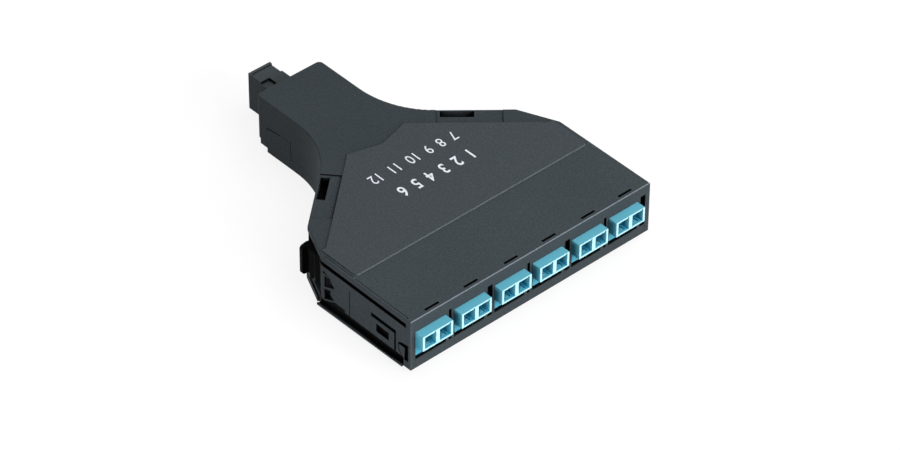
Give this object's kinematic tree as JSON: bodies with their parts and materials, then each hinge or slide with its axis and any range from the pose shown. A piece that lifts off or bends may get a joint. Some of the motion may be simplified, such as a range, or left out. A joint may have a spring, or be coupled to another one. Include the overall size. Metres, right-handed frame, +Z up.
{
  "type": "fibre cassette",
  "caption": "Flat fan-shaped fibre cassette: aqua duplex adapters across the front, a narrow neck with one multi-fibre adapter at the rear, release levers at the corners.",
  "frame": {"origin": "middle of the front face's width, on the plane the cassette rests on", "axes": "+X along the front face, +Y from the front face towards the neck, +Z up"},
  "size_m": [0.1052, 0.1395, 0.0221],
  "materials": {
    "housing": "fine matt grain",
    "black_plastic": "satin",
    "adapter_aqua": "satin",
    "plug_blue": "satin",
    "plug_aqua": "satin",
    "ceramic": "polished",
    "ferrule_black": "fine",
    "fibre_jacket": "smooth",
    "steel": "bright"
  },
  "bodies": {
    "housing": {"top_cover": "housing", "base_tray": "housing", "lc_adapter_1": "adapter_aqua", "split_sleeves_1": "ceramic", "inner_plugs_1": "plug_blue", "ferrules_1": "ceramic", "fibres_1": "fibre_jacket", "lc_adapter_2": "adapter_aqua", "split_sleeves_2": "ceramic", "inner_plugs_2": "plug_blue", "ferrules_2": "ceramic", "fibres_2": "fibre_jacket", "lc_adapter_3": "adapter_aqua", "split_sleeves_3": "ceramic", "inner_plugs_3": "plug_blue", "ferrules_3": "ceramic", "fibres_3": "fibre_jacket", "lc_adapter_4": "adapter_aqua", "split_sleeves_4": "ceramic", "inner_plugs_4": "plug_blue", "ferrules_4": "ceramic", "fibres_4": "fibre_jacket", "lc_adapter_5": "adapter_aqua", "split_sleeves_5": "ceramic", "inner_plugs_5": "plug_blue", "ferrules_5": "ceramic", "fibres_5": "fibre_jacket", "lc_adapter_6": "adapter_aqua", "split_sleeves_6": "ceramic", "inner_plugs_6": "plug_blue", "ferrules_6": "ceramic", "fibres_6": "fibre_jacket", "fanout_block": "housing", "trunk_tube": "fibre_jacket", "mpo_adapter": "black_plastic", "mpo_plug": "plug_aqua", "mt_ferrule": "ferrule_black", "lever_pin_left": "steel", "lever_pin_right": "steel"},
    "lever_left": {"release_lever_left": "black_plastic"},
    "lever_right": {"release_lever_right": "black_plastic"}
  },
  "joints": [
    {"name": "lever_left_press", "type": "hinge", "parent": "housing", "child": "lever_left", "pos_m": [-0.0495, 0.04, 0.011], "axis": [0, 0, 1], "range_deg": [-6, 0], "stiffness_Nm_per_rad": 0.05},
    {"name": "lever_right_press", "type": "hinge", "parent": "housing", "child": "lever_right", "pos_m": [0.0495, 0.04, 0.011], "axis": [0, 0, 1], "range_deg": [0, 6], "stiffness_Nm_per_rad": 0.05}
  ]
}
